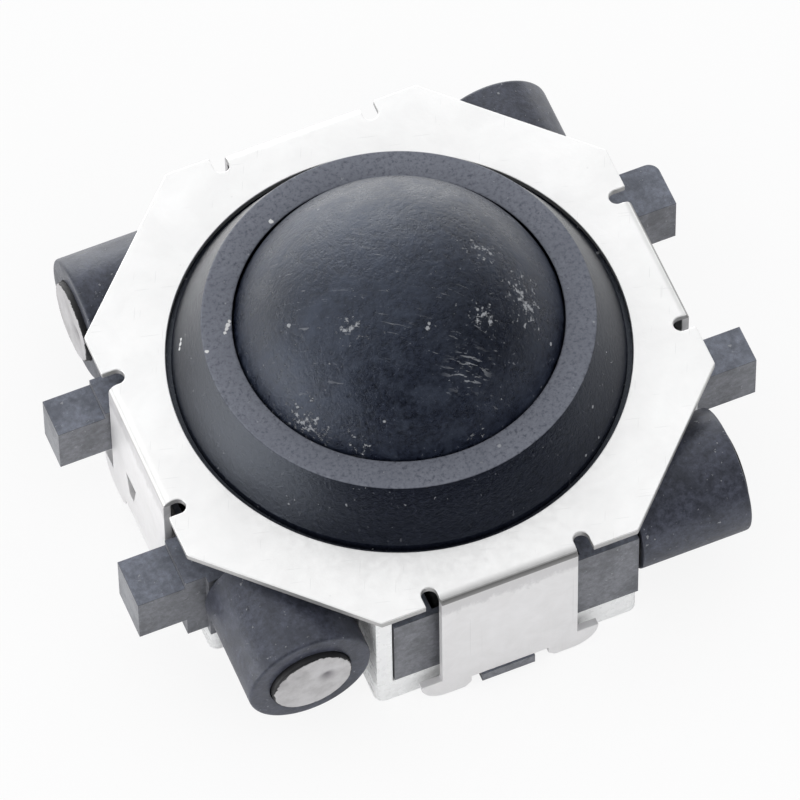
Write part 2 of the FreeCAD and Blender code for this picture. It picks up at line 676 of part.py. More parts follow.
nodes = [cover, ring, ball, frame, guide] + roller_bodies
os.makedirs("parts", exist_ok=True)
for node in nodes:
    if node.Shape.isNull() or not node.Shape.isValid():
        raise RuntimeError("%s has no valid shape" % node.Label)
for node in nodes:
    node.Shape.exportStep("parts/%s.step" % node.Label)
    print("%-22s %2d solid %9.4f mm3" % (node.Label, len(node.Shape.Solids), node.Shape.Volume))
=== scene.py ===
import json
import math

import bmesh
import bpy
from mathutils import Matrix, Vector, noise


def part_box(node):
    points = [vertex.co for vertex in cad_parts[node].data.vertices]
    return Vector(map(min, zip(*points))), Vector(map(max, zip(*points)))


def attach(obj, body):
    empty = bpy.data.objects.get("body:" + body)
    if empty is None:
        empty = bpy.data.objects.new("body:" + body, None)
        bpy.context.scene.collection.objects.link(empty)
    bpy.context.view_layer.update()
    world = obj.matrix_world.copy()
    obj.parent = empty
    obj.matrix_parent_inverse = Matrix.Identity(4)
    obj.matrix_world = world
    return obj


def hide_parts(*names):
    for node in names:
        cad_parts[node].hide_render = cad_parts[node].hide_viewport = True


# A trackball navigation switch seen from its front left, on a pale floor.
# Metres. The ball's centre is on the Z axis, the front faces -Y and the base stands on
# Z = 0. Places and sizes inside a material are in millimetres.

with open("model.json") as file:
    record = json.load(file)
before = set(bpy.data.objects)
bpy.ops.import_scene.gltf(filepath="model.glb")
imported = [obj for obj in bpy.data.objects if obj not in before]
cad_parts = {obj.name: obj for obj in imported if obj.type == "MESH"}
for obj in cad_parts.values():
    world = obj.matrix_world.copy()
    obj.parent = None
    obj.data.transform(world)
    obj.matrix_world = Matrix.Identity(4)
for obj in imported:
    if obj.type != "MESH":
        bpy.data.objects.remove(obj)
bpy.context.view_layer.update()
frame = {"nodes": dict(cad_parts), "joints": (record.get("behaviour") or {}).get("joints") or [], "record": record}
scene = bpy.context.scene
nodes = frame["nodes"]
MM = 0.001
SIDES = ("front", "right", "back", "left")

# Sizes that the part's source has too, under these names in small letters
SHEET_GAUGE = 0.15 * MM
STACK_CLEARANCE = 0.01 * MM
RING_CLEARANCE = 0.04 * MM
RING_RIM_WIDTH = 0.575 * MM
RING_FLANK_SPREAD = 0.565 * MM
RING_SKIRT_WALL = 0.365 * MM
RING_FLANGE_THICKNESS = 0.14 * MM
RING_HOLE_CLEARANCE = 0.115 * MM

# Heights and radii that follow from the frame and from those sizes
PLATE_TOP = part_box("shield_cover")[1].z
RING_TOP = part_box("retaining_ring")[1].z
ball_low, ball_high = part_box("trackball")
BALL_CENTRE = (ball_low + ball_high) / 2
BALL_RADIUS = (ball_high.z - ball_low.z) / 2
RING_CAVITY = BALL_RADIUS + RING_CLEARANCE
RING_RISE = RING_TOP - BALL_CENTRE.z
RING_MOUTH = math.sqrt(RING_CAVITY ** 2 - RING_RISE ** 2)
RIM_RADIUS = RING_MOUTH + RING_RIM_WIDTH
FLANK_FOOT = RIM_RADIUS + RING_FLANK_SPREAD
HOLE_RADIUS = FLANK_FOOT + RING_HOLE_CLEARANCE


# Node trees
class Tree:
    """A node tree, with short calls for the nodes used here."""

    def __init__(self, tree):
        self.nodes = tree.nodes
        self.links = tree.links

    def link(self, source, target):
        self.links.new(source, target)

    def put(self, socket, term):
        """A node's output, a colour or a number put into a socket."""
        if hasattr(term, "node"):
            self.link(term, socket)
        elif hasattr(term, "__len__"):
            socket.default_value = (*term, 1.0)
        else:
            socket.default_value = term

    def math(self, operation, *terms):
        node = self.nodes.new("ShaderNodeMath")
        node.operation = operation
        for socket, term in zip(node.inputs, terms):
            self.put(socket, term)
        return node.outputs["Value"]

    def joined(self, operation, first, *others):
        """Values joined in turn by one operation."""
        for other in others:
            first = self.math(operation, first, other)
        return first

    def plus(self, *terms):
        return self.joined("ADD", *terms)

    def times(self, *terms):
        return self.joined("MULTIPLY", *terms)

    def most(self, *terms):
        return self.joined("MAXIMUM", *terms)

    def less(self, first, second):
        return self.math("SUBTRACT", first, second)

    def ranged(self, source, start, end, low, high, smooth=False):
        """A value from start to end turned into one from low to high."""
        node = self.nodes.new("ShaderNodeMapRange")
        if smooth:
            node.interpolation_type = "SMOOTHSTEP"
        ends = (("From Min", start), ("From Max", end), ("To Min", low), ("To Max", high))
        for name, value in ends:
            node.inputs[name].default_value = value
        self.link(source, node.inputs["Value"])
        return node.outputs["Result"]

    def step(self, source, start, end):
        """0 before start, 1 past end and smooth between them."""
        return self.ranged(source, start, end, 0.0, 1.0, smooth=True)

    def span(self, source, low, high, start=0.3, end=0.7):
        """A noise, most of which lies from start to end, spread from low to high."""
        return self.ranged(source, start, end, low, high)

    def shine(self, kind, colour, strength):
        """A shader that gives light: an emission or a world's background."""
        node = self.nodes.new(kind)
        self.put(node.inputs["Color"], colour)
        self.put(node.inputs["Strength"], strength)
        return node.outputs[0]

    def blend(self, share, first, second):
        """Two shaders mixed by a share."""
        node = self.nodes.new("ShaderNodeMixShader")
        for socket, term in zip(node.inputs, (share, first, second)):
            self.link(term, socket)
        return node.outputs[0]


class Shader(Tree):
    """One material, with the noises, marks and masks that the finishes share."""

    def __init__(self, name):
        self.material = bpy.data.materials.new(name)
        self.material.use_nodes = True
        super().__init__(self.material.node_tree)
        self.bsdf = self.nodes["Principled BSDF"]
        self.object_place = self.nodes.new("ShaderNodeTexCoord").outputs["Object"]

    def set(self, **values):
        for name, value in values.items():
            self.bsdf.inputs[name.replace("_", " ")].default_value = value

    def feed(self, name, source):
        self.link(source, self.bsdf.inputs[name])

    def bump(self, height, depth):
        node = self.nodes.new("ShaderNodeBump")
        node.inputs["Distance"].default_value = depth * MM
        self.link(height, node.inputs["Height"])
        self.feed("Normal", node.outputs["Normal"])

    def ramp(self, source, stops):
        """A value turned into a colour: stops are (value, colour)."""
        node = self.nodes.new("ShaderNodeValToRGB")
        elements = node.color_ramp.elements
        while len(elements) < len(stops):
            elements.new(0.5)
        for element, (value, colour) in zip(elements, stops):
            element.position = value
            element.color = (*colour, 1.0)
        self.link(source, node.inputs["Fac"])
        return node.outputs["Color"]

    def mix(self, factor, first, second, blend="MIX"):
        """Two colours mixed by a factor."""
        node = self.nodes.new("ShaderNodeMix")
        node.data_type = "RGBA"
        node.blend_type = blend
        for socket, term in zip((node.inputs[0], *node.inputs[6:8]), (factor, first, second)):
            self.put(socket, term)
        return node.outputs[2]

    def attribute(self, name):
        """A value that the mesh holds at its points."""
        node = self.nodes.new("ShaderNodeAttribute")
        node.attribute_name = name
        return node.outputs["Fac"]

    def facing(self):
        """How far the surface faces up, from -1 to 1."""
        split = self.nodes.new("ShaderNodeSeparateXYZ")
        geometry = self.nodes.new("ShaderNodeNewGeometry")
        self.link(geometry.outputs["True Normal"], split.inputs[0])
        return split.outputs[2]

    def place_parts(self):
        """The object place in millimetres as three values: across, along and height."""
        split = self.nodes.new("ShaderNodeSeparateXYZ")
        self.link(self.object_place, split.inputs[0])
        return [self.times(split.outputs[axis], 1 / MM) for axis in range(3)]

    def near(self, spot, radius):
        """1 at a place, falling to 0 at a radius."""
        apart = self.nodes.new("ShaderNodeVectorMath")
        apart.operation = "DISTANCE"
        self.link(self.object_place, apart.inputs[0])
        apart.inputs[1].default_value = [value * MM for value in spot]
        return self.step(apart.outputs["Value"], radius * MM, 0.0)

    def near_any(self, spots):
        return self.most(*[self.near(spot, radius) for spot, radius in spots])

    def mapped(self, place, **values):
        """A place changed by a mapping's Scale, Rotation or Location."""
        node = self.nodes.new("ShaderNodeMapping")
        for name, value in values.items():
            node.inputs[name].default_value = value
        self.link(place, node.inputs["Vector"])
        return node.outputs["Vector"]

    def noise(self, per_mm, detail, roughness=0.55, distortion=0.0, stretch=(1, 1, 1), turn=0.0):
        """Noise from 0 to 1, stretched, and turned about Z by an angle in degrees."""
        place = self.object_place
        if turn:
            place = self.mapped(place, Rotation=(0, 0, math.radians(turn)))
        node = self.nodes.new("ShaderNodeTexNoise")
        settings = {"Scale": 1.0, "Detail": detail, "Roughness": roughness, "Distortion": distortion}
        for name, value in settings.items():
            node.inputs[name].default_value = value
        scale = [per_mm / MM * share for share in stretch]
        self.link(self.mapped(place, Scale=scale), node.inputs["Vector"])
        return node.outputs["Fac"]

    def flecks(self, per_mm, level, stretch=(1, 1, 1), turn=0.0):
        """Small irregular chips: the peaks of a fine noise over a level."""
        soft = 0.03
        peaks = self.noise(per_mm, 3.0, 0.6, stretch=stretch, turn=turn)
        return self.step(peaks, level, level + soft)

    def spots(self, place, size, share, soft):
        """Round spots with a soft edge, one in a share of the cells. The size is the
        largest radius in cells."""
        cells = self.nodes.new("ShaderNodeTexVoronoi")
        cells.inputs["Scale"].default_value = 1.0
        self.link(place, cells.inputs["Vector"])
        draw = self.nodes.new("ShaderNodeSeparateColor")
        self.link(cells.outputs["Color"], draw.inputs[0])
        radius = self.times(draw.outputs[1], size)
        inside = self.step(self.less(radius, cells.outputs["Distance"]), 0.0, soft)
        return self.times(inside, self.math("LESS_THAN", draw.outputs[0], share))

    def specks(self, per_mm, size, share, shift=(0, 0, 0)):
        """Small round specks of uneven size."""
        place = self.mapped(self.object_place, Scale=[per_mm / MM] * 3, Location=shift)
        return self.spots(place, size, share, soft=0.08)

    def scratches(self, turn, length, width, share, shift=(0, 0, 0)):
        """Thin straight marks in one direction, of a length and a width."""
        layers_per_mm = 0.4
        place = self.mapped(self.object_place, Rotation=(0, 0, math.radians(turn)),
                            Location=[value * MM for value in shift])
        scale = (1 / length / MM, 1 / width / MM, layers_per_mm / MM)
        return self.spots(self.mapped(place, Scale=scale), size=0.45, share=share, soft=0.1)


# Materials
WHITE = (1, 1, 1)
DUST = (0.42, 0.43, 0.45)

# Places with a radius: where the ball is painted darker as shade, where its chips lie thickest,
# its single nicks and its patch of rubs, and the white chips on the ring
BALL_SHADED = [((1.2, -1.6, 5.9), 1.9), ((-2.3, 0.6, 5.6), 1.3)]
BALL_WEAR = [
    ((2.04, -1.35, 5.50), 0.75), ((2.02, -0.93, 5.75), 0.65), ((1.52, -0.18, 6.26), 0.6),
    ((2.57, 0.87, 5.13), 0.6), ((-1.27, -0.77, 6.28), 0.5), ((-2.45, -1.51, 4.80), 0.75),
    ((-1.73, -2.32, 4.78), 0.5), ((1.06, -1.46, 6.09), 0.45), ((0.34, -2.91, 4.70), 0.4),
]
BALL_NICKS = [((-0.01, -1.41, 6.32), 0.09), ((0.05, -1.33, 6.34), 0.07), ((-2.17, -0.08, 5.79), 0.08)]
BALL_RUBS = ((0.47, -2.18, 5.73), 0.6)
RING_CHIPS = [
    ((-3.03, 0.93, 4.58), 0.07), ((-2.97, 1.00, 4.58), 0.09), ((-2.92, 1.06, 4.58), 0.09),
    ((-2.86, 1.13, 4.58), 0.06), ((-3.48, 0.69, 4.57), 0.08), ((-3.75, 1.41, 3.77), 0.08),
    ((-3.71, 1.48, 3.81), 0.09), ((-3.67, 1.55, 3.84), 0.07), ((-1.35, 2.81, 4.58), 0.08),
]


def ball_plastic():
    """Satin blue-black plastic, scuffed dull in patches and chipped by handling, with painted shade darkening it
    in two places.
    """
    low, high = (0.002, 0.003, 0.008), (0.018, 0.023, 0.040)
    scuffed, shaded_tone = (0.032, 0.040, 0.062), (0.002, 0.003, 0.007)
    look = Shader("ball_plastic")
    look.set(IOR=1.52, Specular_Tint=(0.79, 0.87, 1.0, 1.0))
    grain = look.noise(10.0, 4.0, 0.75)
    patches = look.noise(0.55, 4.0, 0.65)
    blotches = look.noise(2.4, 3.0, 0.6, stretch=(1, 1, 0.7))
    base = look.ramp(grain, [(0.34, low), (0.66, high)])
    dull = look.plus(look.times(look.step(patches, 0.42, 0.66), 0.35),
                     look.times(look.step(blotches, 0.50, 0.66), 0.45))
    # Painted shade: round two places the ball's colour is made darker and loses its scuffs, where it lies in
    # shade.
    smooth = look.near_any(BALL_SHADED)
    dull = look.times(dull, look.less(1.0, look.times(smooth, 0.9)))
    base = look.mix(dull, base, scuffed)
    base = look.mix(look.times(smooth, 0.5), base, shaded_tone)
    worn = look.plus(look.times(look.near_any(BALL_WEAR), 0.85),
                     look.times(look.step(patches, 0.4, 0.7), 0.25))
    raised = look.plus(look.noise(9.0, 4.0, 0.72), look.ranged(worn, 0.0, 1.0, 0.0, 0.185))
    chipped = look.step(raised, 0.685, 0.745)
    rubbed = look.times(look.flecks(7.0, 0.56, (0.22, 2.2, 1.0), 22.0), look.near(*BALL_RUBS))
    fine = look.times(look.flecks(6.0, 0.655, (0.2, 2.6, 1.0), 35.0), look.step(patches, 0.42, 0.6))
    nicks = look.plus(look.near_any(BALL_NICKS), look.span(grain, -0.5, 0.5))
    nicked = look.step(nicks, 0.40, 0.6)
    dust = look.specks(4.0, 0.20, 0.09)
    marks = look.most(chipped, look.times(rubbed, 0.8), look.times(fine, 0.35), dust, nicked)
    look.feed("Base Color", look.mix(look.times(marks, 0.7), base, DUST))
    satin = look.plus(look.span(grain, 0.24, 0.36), look.span(blotches, -0.06, 0.12, 0.35, 0.65))
    look.feed("Roughness", look.plus(satin, look.times(marks, 0.2)))
    look.bump(look.plus(look.times(grain, 1.6), look.times(blotches, 1.5), marks), 0.014)
    return look.material


def ring_plastic():
    """Black plastic: a flat rim with fine pits, painted far lighter than the flank as light from above, and a
    satin flank with faint drag lines.
    """
    pit, level, raised = (0.060, 0.064, 0.082), (0.144, 0.151, 0.180), (0.195, 0.203, 0.232)
    clouded, dragged, chipped = (0.105, 0.112, 0.138), (0.16, 0.165, 0.18), (0.72, 0.72, 0.72)
    flank_low, flank_high = (0.002, 0.003, 0.007), (0.010, 0.012, 0.021)
    look = Shader("ring_plastic")
    look.set(IOR=1.5, Specular_Tint=(0.80, 0.88, 1.0, 1.0))
    height = look.place_parts()[2]
    rim = look.step(height, RING_TOP / MM - 0.025, RING_TOP / MM - 0.006)
    cloud = look.noise(1.2, 4.0, 0.6)
    grain = look.noise(12.0, 4.0, 0.75)
    # Painted light: the flat rim is painted far lighter than the near-black flank, as light falling from above.
    lit_rim_tone = look.ramp(grain, [(0.34, pit), (0.48, level), (0.75, raised)])
    lit_rim_tone = look.mix(look.times(look.step(cloud, 0.4, 0.65), 0.3), lit_rim_tone, clouded)
    flank_tone = look.ramp(grain, [(0.35, flank_low), (0.65, flank_high)])
    rugged = look.span(look.noise(13.0, 3.0, 0.7), -0.4, 0.4)
    chips = look.step(look.plus(look.near_any(RING_CHIPS), rugged), 0.40, 0.55)
    dust = look.most(look.specks(5.0, 0.24, 0.14, (2, 7, 3)), look.flecks(9.0, 0.70))
    drag = look.times(look.flecks(5.0, 0.66, (2.4, 2.4, 0.16)), look.step(cloud, 0.45, 0.6))
    tone = look.mix(rim, flank_tone, lit_rim_tone)
    tone = look.mix(look.times(drag, 0.3), tone, dragged)
    tone = look.mix(look.times(dust, 0.5), tone, DUST)
    look.feed("Base Color", look.mix(chips, tone, chipped))
    look.feed("Roughness", look.plus(look.span(grain, 0.14, 0.24), look.times(rim, 0.38)))
    look.bump(look.plus(look.times(grain, 1.2), look.most(dust, chips)), 0.009)
    return look.material


def moulded_black(name, base, rough, grain_per_mm, dust_share, spread=0.3, edge_shade=0.0):
    """Satin black moulded plastic, mottled by wear, with a little dust.

    With edge shade, its slanted edges get a painted dark line of shade and its top faces a painted bluer tint of
    reflected light."""
    low, high, mottled = [[channel * share for channel in base]
                          for share in (1 - spread, 1 + spread, 0.42)]
    lit_top_tint, edge_shade_tone = (0.94, 0.99, 1.09), (0.02, 0.02, 0.024)
    look = Shader(name)
    look.set(IOR=1.5, Specular_Tint=(0.90, 0.94, 1.0, 1.0))
    grain = look.noise(grain_per_mm, 4.0, 0.75)
    cloud = look.noise(1.7, 5.0, 0.7)
    tone = look.ramp(grain, [(0.3, low), (0.7, high)])
    tone = look.mix(look.times(look.step(cloud, 0.42, 0.64), 0.55), tone, mottled)
    if edge_shade:
        facing = look.facing()
        edge = look.times(look.step(facing, 0.15, 0.35), look.step(facing, 0.97, 0.90))
        # Painted light and shade: top faces get a bluer tint of reflected light, and slanted edges a dark line of
        # shade.
        tone = look.mix(look.step(facing, 0.9, 0.99), tone, lit_top_tint, "MULTIPLY")
        tone = look.mix(look.times(edge, edge_shade), tone, edge_shade_tone)
    dust = look.most(look.specks(6.0, 0.22, dust_share), look.flecks(10.0, 0.675))
    look.feed("Base Color", look.mix(look.times(dust, 0.5), tone, DUST))
    look.feed("Roughness", look.plus(look.span(grain, rough - 0.06, rough + 0.06),
                                     look.span(cloud, -0.04, 0.06, 0.35, 0.65)))
    look.bump(look.plus(grain, dust), 0.009)
    return look.material


def tin_sheet():
    """Bright tinned sheet: nearly white, with a painted dark reflection along the folds, flaps painted a little
    darker as shade, and a ragged darker band at the top of each flap.
    """
    plate_low, plate_high = (0.86, 0.857, 0.85), (0.94, 0.938, 0.93)
    flap_shade_low, flap_shade_high, flap_band_tone = (0.80, 0.79, 0.79), (0.865, 0.855, 0.86), (0.52, 0.51, 0.515)
    fold_shade_and_edge_tone, mark_tone = (0.16, 0.158, 0.155), (0.5, 0.5, 0.5)
    top = PLATE_TOP / MM
    look = Shader("tin_sheet")
    across, along, height = look.place_parts()
    plate_tone = look.ramp(look.noise(0.8, 5.0, 0.6, 0.4), [(0.3, plate_low), (0.7, plate_high)])
    # Painted shade: the flaps' tone is a little darker than the plate's, as they face the dim front.
    flap_tone = look.ramp(look.noise(2.2, 5.0, 0.65, 0.6), [(0.3, flap_shade_low), (0.7, flap_shade_high)])
    # The flaps go darker in a ragged band at their top, just under the fold.
    ragged = look.plus(height, look.times(look.noise(5.0, 4.0, 0.7, stretch=(1, 1, 0.6)), 0.7))
    rubbed = look.step(ragged, top - 0.28, top - 0.04)
    flap_tone = look.mix(look.times(rubbed, 0.55), flap_tone, flap_band_tone)
    on_plate = look.step(height, top - 0.14, top - 0.08)
    tone = look.mix(on_plate, flap_tone, plate_tone)
    # Only partly a metal, so that it stays pale where it mirrors the dim front.
    look.feed("Metallic", look.plus(0.35, look.times(on_plate, 0.2)))
    # The folds have a thin painted dark line, a painted reflection of the dim room, darkest at the front and
    # right, and the cut edges of the sheet are dull too.
    facing = look.facing()
    bent = look.times(look.step(facing, 0.06, 0.22), look.step(facing, 0.80, 0.62))
    within = look.times(look.step(height, top - 0.22, top - 0.18),
                        look.step(height, top - 0.03, top - 0.06))
    fold = look.times(bent, within)
    upright = look.step(look.math("ABSOLUTE", facing), 0.35, 0.15)
    cut_edge = look.times(upright, look.step(height, top - 0.16, top - 0.13))
    front_or_right = look.most(look.step(along, -4.6, -4.9), look.step(across, 4.6, 4.9))
    fold_shade_strength = look.plus(0.3, look.times(front_or_right, 0.55))
    dull = look.most(look.times(fold, fold_shade_strength), look.times(cut_edge, 0.6))
    tone = look.mix(dull, tone, fold_shade_and_edge_tone)
    marks = look.most(look.scratches(15, 0.5, 0.02, 0.05),
                      look.scratches(-65, 0.4, 0.02, 0.05, (3, 3, 0)),
                      look.specks(7.0, 0.2, 0.03))
    look.feed("Base Color", look.mix(look.times(marks, 0.2), tone, mark_tone))
    streaks = look.noise(3.0, 3.0, 0.6, stretch=(2.5, 2.5, 0.35))
    look.feed("Roughness", look.less(look.span(streaks, 0.38, 0.52), look.times(on_plate, 0.1)))
    look.bump(look.plus(streaks, look.times(look.noise(0.9, 2.0), 3.0)), 0.003)
    return look.material


def milky_plastic():
    """Clear plastic gone milky, pale grey in its depth."""
    low, high = (0.86, 0.865, 0.865), (0.91, 0.915, 0.91)
    look = Shader("milky_plastic")
    look.set(IOR=1.49, Subsurface_Weight=0.5, Subsurface_Radius=[1.2 * MM] * 3)
    look.feed("Base Color", look.ramp(look.noise(1.2, 3.0), [(0.3, low), (0.7, high)]))
    look.feed("Roughness", look.span(look.noise(6.0, 2.0), 0.22, 0.36))
    look.bump(look.noise(1.2, 1.0), 0.0015)
    return look.material


def ground_steel():
    """Bright steel with fine grinding lines."""
    low, high = (0.52, 0.51, 0.50), (0.66, 0.65, 0.64)
    look = Shader("ground_steel")
    look.set(Metallic=1.0)
    lines = look.noise(9.0, 2.0, 0.5, stretch=(0.2, 1.0, 1.0))
    look.feed("Base Color", look.ramp(lines, [(0.3, low), (0.7, high)]))
    look.feed("Roughness", look.span(lines, 0.28, 0.42))
    look.bump(lines, 0.002)
    return look.material


def pale_plug():
    """Off-white filled plastic, whose ragged edge leaves a black collar bare."""
    low, middle, high = (0.36, 0.35, 0.355), (0.51, 0.50, 0.505), (0.60, 0.59, 0.60)
    mark_tone, dent_tone, collar_tone = (0.22, 0.215, 0.22), (0.14, 0.13, 0.145), (0.012, 0.012, 0.014)
    look = Shader("pale_plug")
    cloud = look.noise(1.7, 5.0, 0.65)
    tone = look.ramp(cloud, [(0.32, low), (0.52, middle), (0.7, high)])
    marks = look.most(look.scratches(35, 0.35, 0.02, 0.12), look.specks(9.0, 0.25, 0.15))
    tone = look.mix(look.times(marks, 0.3), tone, mark_tone)
    ragged = look.plus(look.attribute("edge_share"), look.times(look.noise(6.0, 4.0, 0.75), 0.20))
    collar = look.step(ragged, 1.078, 1.086)
    tone = look.mix(look.times(look.attribute("dent"), 0.85), tone, dent_tone)
    look.feed("Base Color", look.mix(collar, tone, collar_tone))
    look.feed("Roughness", look.span(cloud, 0.45, 0.65))
    look.bump(look.less(cloud, collar), 0.02)
    return look.material


finishes = {
    "cover_sheet": tin_sheet(),
    "ring_plastic": ring_plastic(),
    "ball_plastic": ball_plastic(),
    "frame_plastic": moulded_black("frame_plastic", (0.170, 0.174, 0.192), rough=0.40, grain_per_mm=9.0,
                                   dust_share=0.08, spread=0.36, edge_shade=0.8),
    "light_guide": milky_plastic(),
    "shaft_steel": ground_steel(),
    "sleeve_rubber": moulded_black("sleeve_rubber", (0.035, 0.035, 0.036), rough=0.70,
                                   grain_per_mm=10.0, dust_share=0.03),
    "magnet_black": moulded_black("magnet_black", (0.050, 0.054, 0.074), rough=0.36, grain_per_mm=9.0,
                                  dust_share=0.30, spread=0.55),
    "plug_white": pale_plug(),
}
slot_of = {row["node"]: row["material_slot"] for row in frame["record"]["subparts"]}
bodies = frame["record"]["behaviour"]["bodies"]
body_of = {node: body for body, members in bodies.items() for node in members}
for name, node in nodes.items():
    node.data.materials.clear()
    node.data.materials.append(finishes[slot_of[name]])


# Shapes
UPRIGHT = Vector((0, 0, 1))


def add_piece(name, mesh, node):
    """A piece that stands for a CAD node, with its body, slot and finish."""
    for polygon in mesh.polygons:
        polygon.use_smooth = True
    piece = bpy.data.objects.new(name, mesh)
    scene.collection.objects.link(piece)
    mesh.materials.append(finishes[slot_of[node]])
    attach(piece, body_of[node])
    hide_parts(node)
    return piece


def weigh_normals(piece):
    """Large faces stay flat beside their rounded edges."""
    piece.modifiers.new("weighted", "WEIGHTED_NORMAL").weight = 60


def rounded(corners):
    """A closed profile of (along, radius, rounding) with its corners rounded off. A
    rounding takes less than half of an edge."""
    steps = 4
    most_of_edge = 0.48
    rows = []
    for index, (along, radius, soft) in enumerate(corners):
        here = Vector((along, radius))
        if soft == 0:
            rows.append((along, radius))
            continue
        before = Vector(corners[index - 1][:2]) - here
        after = Vector(corners[(index + 1) % len(corners)][:2]) - here
        cut = soft / math.tan(before.angle(after) / 2)
        start = here + before.normalized() * min(cut, before.length * most_of_edge)
        end = here + after.normalized() * min(cut, after.length * most_of_edge)
        for number in range(steps + 1):
            share = number / steps
            point = start * (1 - share) ** 2 + here * 2 * share * (1 - share) + end * share ** 2
            rows.append((point.x, point.y))
    return rows


def turned(name, node, rows, centre, axis, steps, shape=None, closed=True):
    """A turned piece from rows of (along, radius) round an axis. A row of radius 0 is a
    pole, and shape may move each point by its place along, its radius and its angle."""
    level = abs(axis.z) < 0.9
    side = UPRIGHT if level else Vector((1, 0, 0))
    other = axis.cross(side)
    work = bmesh.new()
    rings = []
    for along, radius in rows:
        points = []
        pole = radius < 1e-9
        for number in range(1 if pole else steps):
            angle = math.tau * number / steps
            way, reach = shape(along, radius, angle) if shape else (along, radius)
            spot = axis * way + (side * math.cos(angle) + other * math.sin(angle)) * reach
            points.append(work.verts.new(Vector(centre) + spot))
        rings.append(points)
    pairs = list(zip(rings, rings[1:]))
    if closed:
        pairs.append((rings[-1], rings[0]))
    for first, second in pairs:
        for number in range(steps):
            following = (number + 1) % steps
            corners = [first[number % len(first)], first[following % len(first)],
                       second[following % len(second)], second[number % len(second)]]
            work.faces.new(list(dict.fromkeys(corners)))
    bmesh.ops.recalc_face_normals(work, faces=work.faces)
    mesh = bpy.data.meshes.new(name)
    work.to_mesh(mesh)
    work.free()
    piece = add_piece(name, mesh, node)
    weigh_normals(piece)
    return piece


def smooth_hole(work, radius):
    """A round hole about Z gets four times the points on its rims, all at its radius."""
    on_radius, level, chord_sink = 0.002 * MM, 0.001 * MM, 0.02 * MM
    rims = []
    for edge in work.edges:
        first, second = [vert.co for vert in edge.verts]
        off_radius = max(abs(math.hypot(spot.x, spot.y) - radius) for spot in (first, second))
        if off_radius < on_radius and abs(first.z - second.z) < level:
            rims.append(edge)
    bmesh.ops.subdivide_edges(work, edges=rims, cuts=3)
    for vert in work.verts:
        reach = math.hypot(vert.co.x, vert.co.y)
        if abs(reach - radius) < chord_sink:
            vert.co.x *= radius / reach
            vert.co.y *= radius / reach


def softened(name, node, width, hole=None):
    """The node's own shape with its flat faces joined and its edges broken."""
    weld, flat, sharp = 0.0002 * MM, math.radians(1), math.radians(30)
    work = bmesh.new()
    work.from_mesh(nodes[node].data)
    bmesh.ops.remove_doubles(work, verts=work.verts, dist=weld)
    bmesh.ops.dissolve_limit(work, angle_limit=flat, verts=work.verts, edges=work.edges)
    if hole:
        smooth_hole(work, hole)
    bmesh.ops.recalc_face_normals(work, faces=work.faces)
    work.verts.index_update()
    points = [vert.co[:] for vert in work.verts]
    faces = [[vert.index for vert in face.verts] for face in work.faces]
    work.free()
    mesh = bpy.data.meshes.new(name)
    mesh.from_pydata(points, [], faces)
    piece = add_piece(name, mesh, node)
    bevel = piece.modifiers.new("broken_edges", "BEVEL")
    bevel.width = width
    bevel.segments = 2
    bevel.limit_method = "ANGLE"
    bevel.angle_limit = sharp
    bevel.harden_normals = True
    weigh_normals(piece)


def uneven_ball(along, radius, angle):
    """The slight flats of a tumbled moulding."""
    depth, per_mm = 0.0004, 0.7
    spot = Vector((radius * math.cos(angle), radius * math.sin(angle), along)) / MM
    sink = 1 - depth * (1 + noise.noise(spot * per_mm))
    return along * sink, radius * sink


def add_ball():
    """The ball, from its lower pole to its upper one."""
    arc_steps = 96
    rows = []
    for number in range(arc_steps + 1):
        angle = math.pi * number / arc_steps
        rows.append((-math.cos(angle) * BALL_RADIUS, math.sin(angle) * BALL_RADIUS))
    turned("ball", "trackball", rows, BALL_CENTRE, UPRIGHT, steps=160, shape=uneven_ball,
           closed=False)


def add_ring():
    """The ring, from its skirt out to the flange, up its flank to the flat rim and down
    its inside, which is round like the ball."""
    ring_low, ring_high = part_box("retaining_ring")
    skirt_outside = RING_CAVITY + RING_SKIRT_WALL
    flange_outside = ring_high.x
    flange_top = PLATE_TOP - SHEET_GAUGE - STACK_CLEARANCE
    flange_underside = flange_top - RING_FLANGE_THICKNESS
    foot_height = PLATE_TOP + 0.03 * MM
    corners = [
        (ring_low.z, RING_CAVITY, 0.03 * MM),
        (ring_low.z, skirt_outside, 0.04 * MM),
        (flange_underside, skirt_outside, 0.03 * MM),
        (flange_underside, flange_outside, 0.03 * MM),
        (flange_top, flange_outside, 0.03 * MM),
        (flange_top, FLANK_FOOT, 0.02 * MM),
        (foot_height, FLANK_FOOT, 0.04 * MM),
        (RING_TOP, RIM_RADIUS, 0.05 * MM),
        (RING_TOP, RING_MOUTH, 0.035 * MM),
    ]
    arc_steps = 8
    for number in range(arc_steps - 1, -1, -1):
        angle = math.asin(RING_RISE / RING_CAVITY) * number / arc_steps
        height = BALL_CENTRE.z + RING_CAVITY * math.sin(angle)
        corners.append((height, RING_CAVITY * math.cos(angle), 0))
    turned("ring", "retaining_ring", rounded(corners), (0, 0, 0), UPRIGHT, steps=288)


# The four rollers. Each plug's rim is chipped round an angle, more or less deeply.
CHIPS = {"front": (0.9, 0.6), "right": (3.8, 0.8), "back": (2.2, 0.5), "left": (0.75, 1.0)}
CHIP_HALF_WIDTH = 0.95
PLUG_FACE_RINGS = 40

# The gap round a shaft and round a plug, so that no two surfaces coincide
PLAY = 0.01 * MM

# The dimple in a plug's face, in millimetres from its middle, with its depth
DIMPLE_ACROSS, DIMPLE_OVER, DIMPLE_SPREAD, DIMPLE_DEPTH = 0.05, -0.30, 0.017, 0.06

